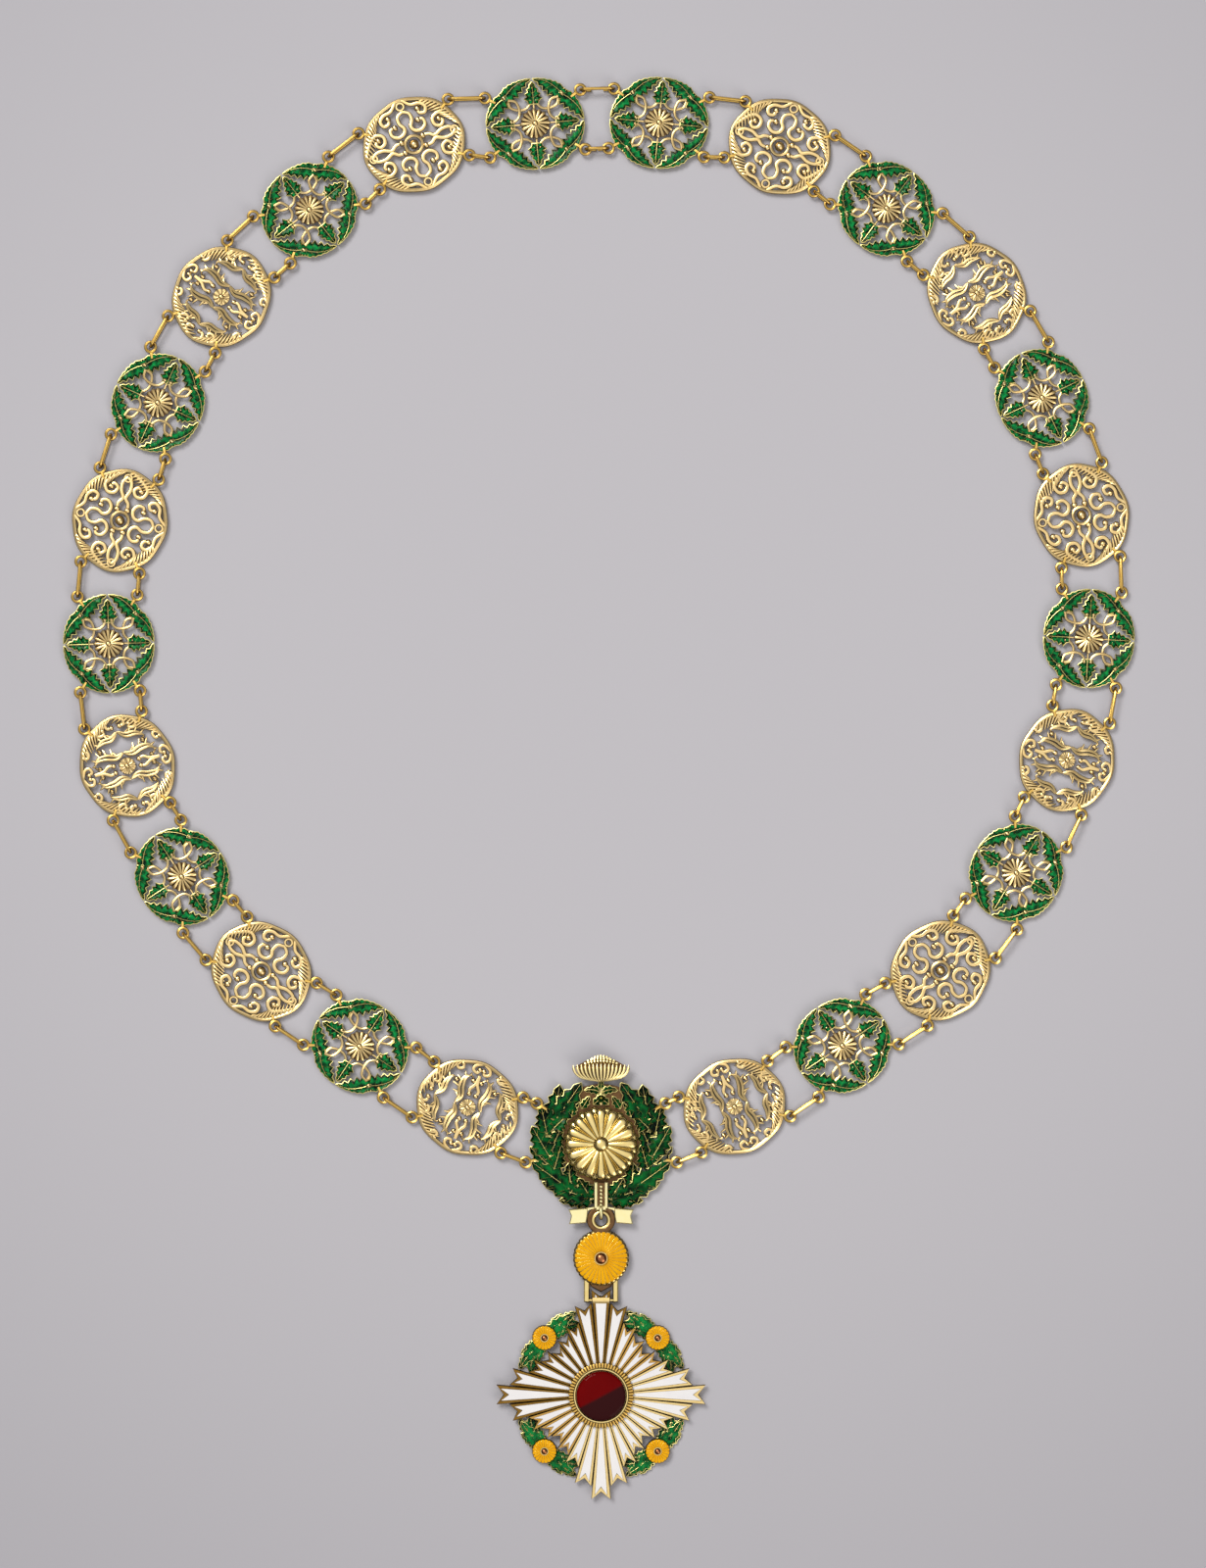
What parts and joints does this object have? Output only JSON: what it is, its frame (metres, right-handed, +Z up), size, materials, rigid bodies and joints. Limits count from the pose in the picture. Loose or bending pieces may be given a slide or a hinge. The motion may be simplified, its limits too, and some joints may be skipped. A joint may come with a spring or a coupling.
{
  "type": "order collar",
  "caption": "Chain collar laid flat: pierced gold and green enamelled oval medallions joined by paired wire links, a leaf wreath in front, a flower disc and a hinged sun badge below it.",
  "frame": {"origin": "on the surface that the collar lies on, below the middle of its bounding box", "axes": "+Y from the badge to the clasp, +X to the right seen from the front, +Z up from the backs"},
  "size_m": [0.3076, 0.4068, 0.0068],
  "materials": {
    "pale_gold": "cast, pierced and chased gold, polished on the high places",
    "green_enamel": "translucent green enamel over engraved gold, in gold cells",
    "dark_green_enamel": "deep green enamel leaves with gold veins and edges",
    "yellow_enamel": "yellow enamel petals in gold cells",
    "white_enamel": "glossy white enamel between gold lines",
    "red_stone": "polished deep red cabochon"
  },
  "bodies": {
    "collar": {"crest_flower": "pale_gold", "flower_disc": "yellow_enamel", "flower_disc_boss": "pale_gold", "gold_medallion_01": "pale_gold", "gold_medallion_02": "pale_gold", "gold_medallion_03": "pale_gold", "gold_medallion_04": "pale_gold", "gold_medallion_05": "pale_gold", "gold_medallion_06": "pale_gold", "gold_medallion_07": "pale_gold", "gold_medallion_08": "pale_gold", "gold_medallion_09": "pale_gold", "gold_medallion_10": "pale_gold", "gold_medallion_11": "pale_gold", "gold_medallion_12": "pale_gold", "green_medallion_01": "green_enamel", "green_medallion_02": "green_enamel", "green_medallion_03": "green_enamel", "green_medallion_04": "green_enamel", "green_medallion_05": "green_enamel", "green_medallion_06": "green_enamel", "green_medallion_07": "green_enamel", "green_medallion_08": "green_enamel", "green_medallion_09": "green_enamel", "green_medallion_10": "green_enamel", "green_medallion_11": "green_enamel", "green_medallion_12": "green_enamel", "ribbon_hanger": "pale_gold", "wreath_leaves": "dark_green_enamel", "wreath_rosette": "pale_gold"},
    "badge": {"badge_bezel": "pale_gold", "badge_cabochon": "red_stone", "badge_flower_1": "yellow_enamel", "badge_flower_2": "yellow_enamel", "badge_flower_3": "yellow_enamel", "badge_flower_4": "yellow_enamel", "badge_leaves_1": "dark_green_enamel", "badge_leaves_2": "dark_green_enamel", "badge_leaves_3": "dark_green_enamel", "badge_leaves_4": "dark_green_enamel", "badge_sun": "white_enamel"}
  },
  "joints": [
    {"name": "badge_hinge", "type": "hinge", "parent": "collar", "child": "badge", "pos_m": [0.00064, -0.14666, 0.0016], "axis": [-1, 0, 0], "range_deg": [0, 90]}
  ]
}
